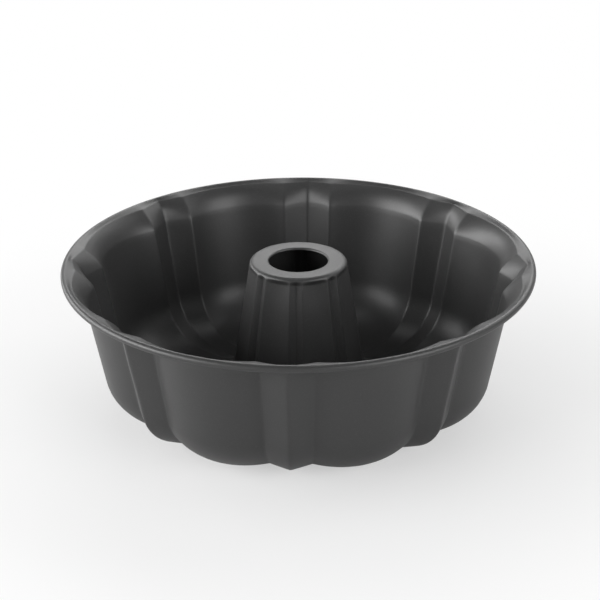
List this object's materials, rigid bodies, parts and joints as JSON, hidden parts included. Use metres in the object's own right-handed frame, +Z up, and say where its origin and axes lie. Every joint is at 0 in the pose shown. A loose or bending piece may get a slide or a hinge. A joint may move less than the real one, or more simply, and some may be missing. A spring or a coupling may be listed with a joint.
{
  "type": "fluted ring cake pan",
  "caption": "Round ring pan for baking in dark non-stick coated steel, with a deep fluted trough, a sloping lip with a rolled rim, and an open fluted centre tube.",
  "frame": {"origin": "on the pan's axis, in the plane of the feet that it stands on", "axes": "+Z up along the axis, with a narrow ridge of the wall facing -Y"},
  "size_m": [0.268, 0.268, 0.085],
  "materials": {
    "coated_steel": "satin dark grey non-stick coating on pressed steel",
    "wire_steel": "bare drawn wire, closed in by the rolled rim"
  },
  "bodies": {
    "root": {"fluted_shell": "coated_steel", "centre_tube": "coated_steel", "rim_wire": "wire_steel"}
  },
  "joints": []
}
